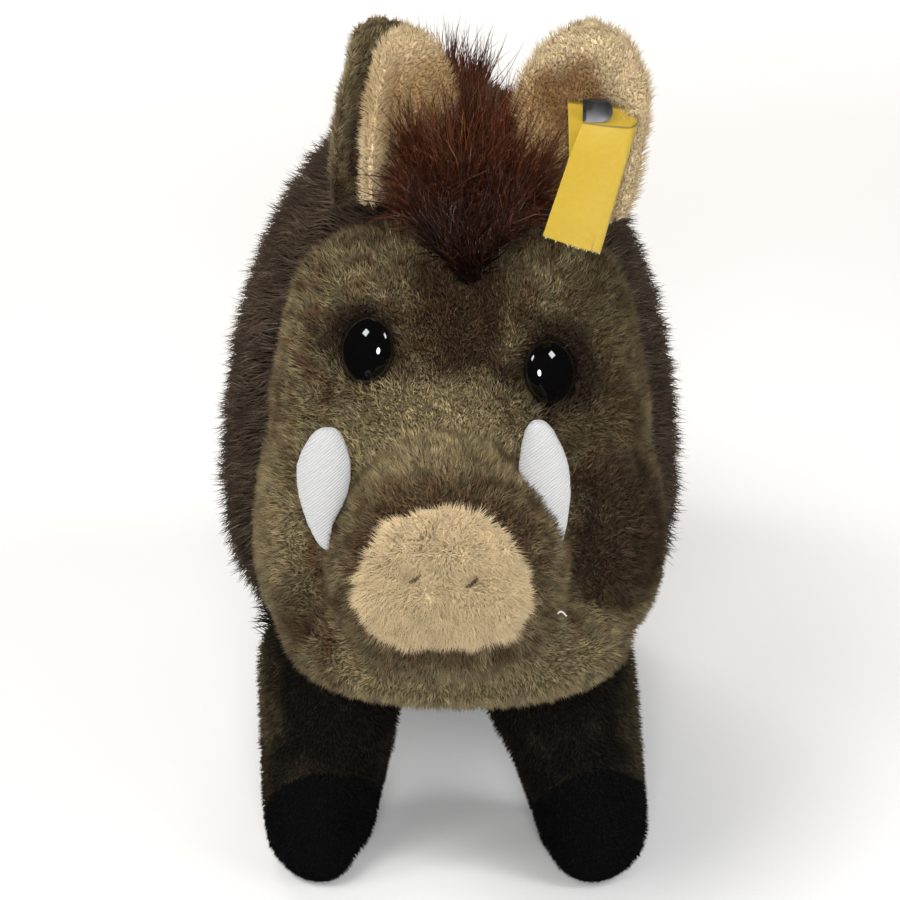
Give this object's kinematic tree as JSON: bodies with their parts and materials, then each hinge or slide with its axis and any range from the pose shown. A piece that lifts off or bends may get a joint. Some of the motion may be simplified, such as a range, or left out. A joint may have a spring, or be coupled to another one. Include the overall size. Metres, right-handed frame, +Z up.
{
  "type": "plush wild boar toy",
  "caption": "Stuffed plush wild boar toy standing on stubby legs, with a squarish head, pale snout, cloth tusks, upright ears, long mane and a ribbon ear tag.",
  "frame": {"origin": "on the floor under the middle of the whole toy", "axes": "+Z up, -Y towards the snout, +X towards the boar's own left side"},
  "size_m": [0.1206, 0.2994, 0.2167],
  "materials": {
    "body_plush": "dark brown pile about 8 mm long with paler tips",
    "head_plush": "short olive brown pile, shaded darker round the eyes and snout",
    "pale_plush": "short soft beige pile",
    "foot_plush": "very short black pile",
    "mane_hair": "long glossy red brown fibre",
    "tusk_cloth": "white cloth with a fine slanting rib",
    "eye_plastic": "polished black",
    "thread": "dark sewing thread",
    "ribbon": "smooth yellow woven ribbon",
    "clip_metal": "dark grey, slightly worn"
  },
  "bodies": {
    "root": {"trunk": "body_plush", "neck": "body_plush", "tail": "body_plush", "leg_front_left": "body_plush", "leg_front_right": "body_plush", "leg_hind_left": "body_plush", "leg_hind_right": "body_plush", "foot_front_left": "foot_plush", "foot_front_right": "foot_plush", "foot_hind_left": "foot_plush", "foot_hind_right": "foot_plush", "head": "head_plush", "muzzle": "head_plush", "lower_jaw": "head_plush", "ear_back_left": "head_plush", "ear_back_right": "head_plush", "ear_lining_left": "pale_plush", "ear_lining_right": "pale_plush", "snout_disc": "pale_plush", "forelock": "mane_hair", "mane_crest": "mane_hair", "tail_tuft": "mane_hair", "tusk_left": "tusk_cloth", "tusk_right": "tusk_cloth", "eye_left": "eye_plastic", "eye_right": "eye_plastic", "nostril_stitch_left": "thread", "nostril_stitch_right": "thread", "tag_ribbon": "ribbon", "tag_clip": "clip_metal"}
  },
  "joints": []
}
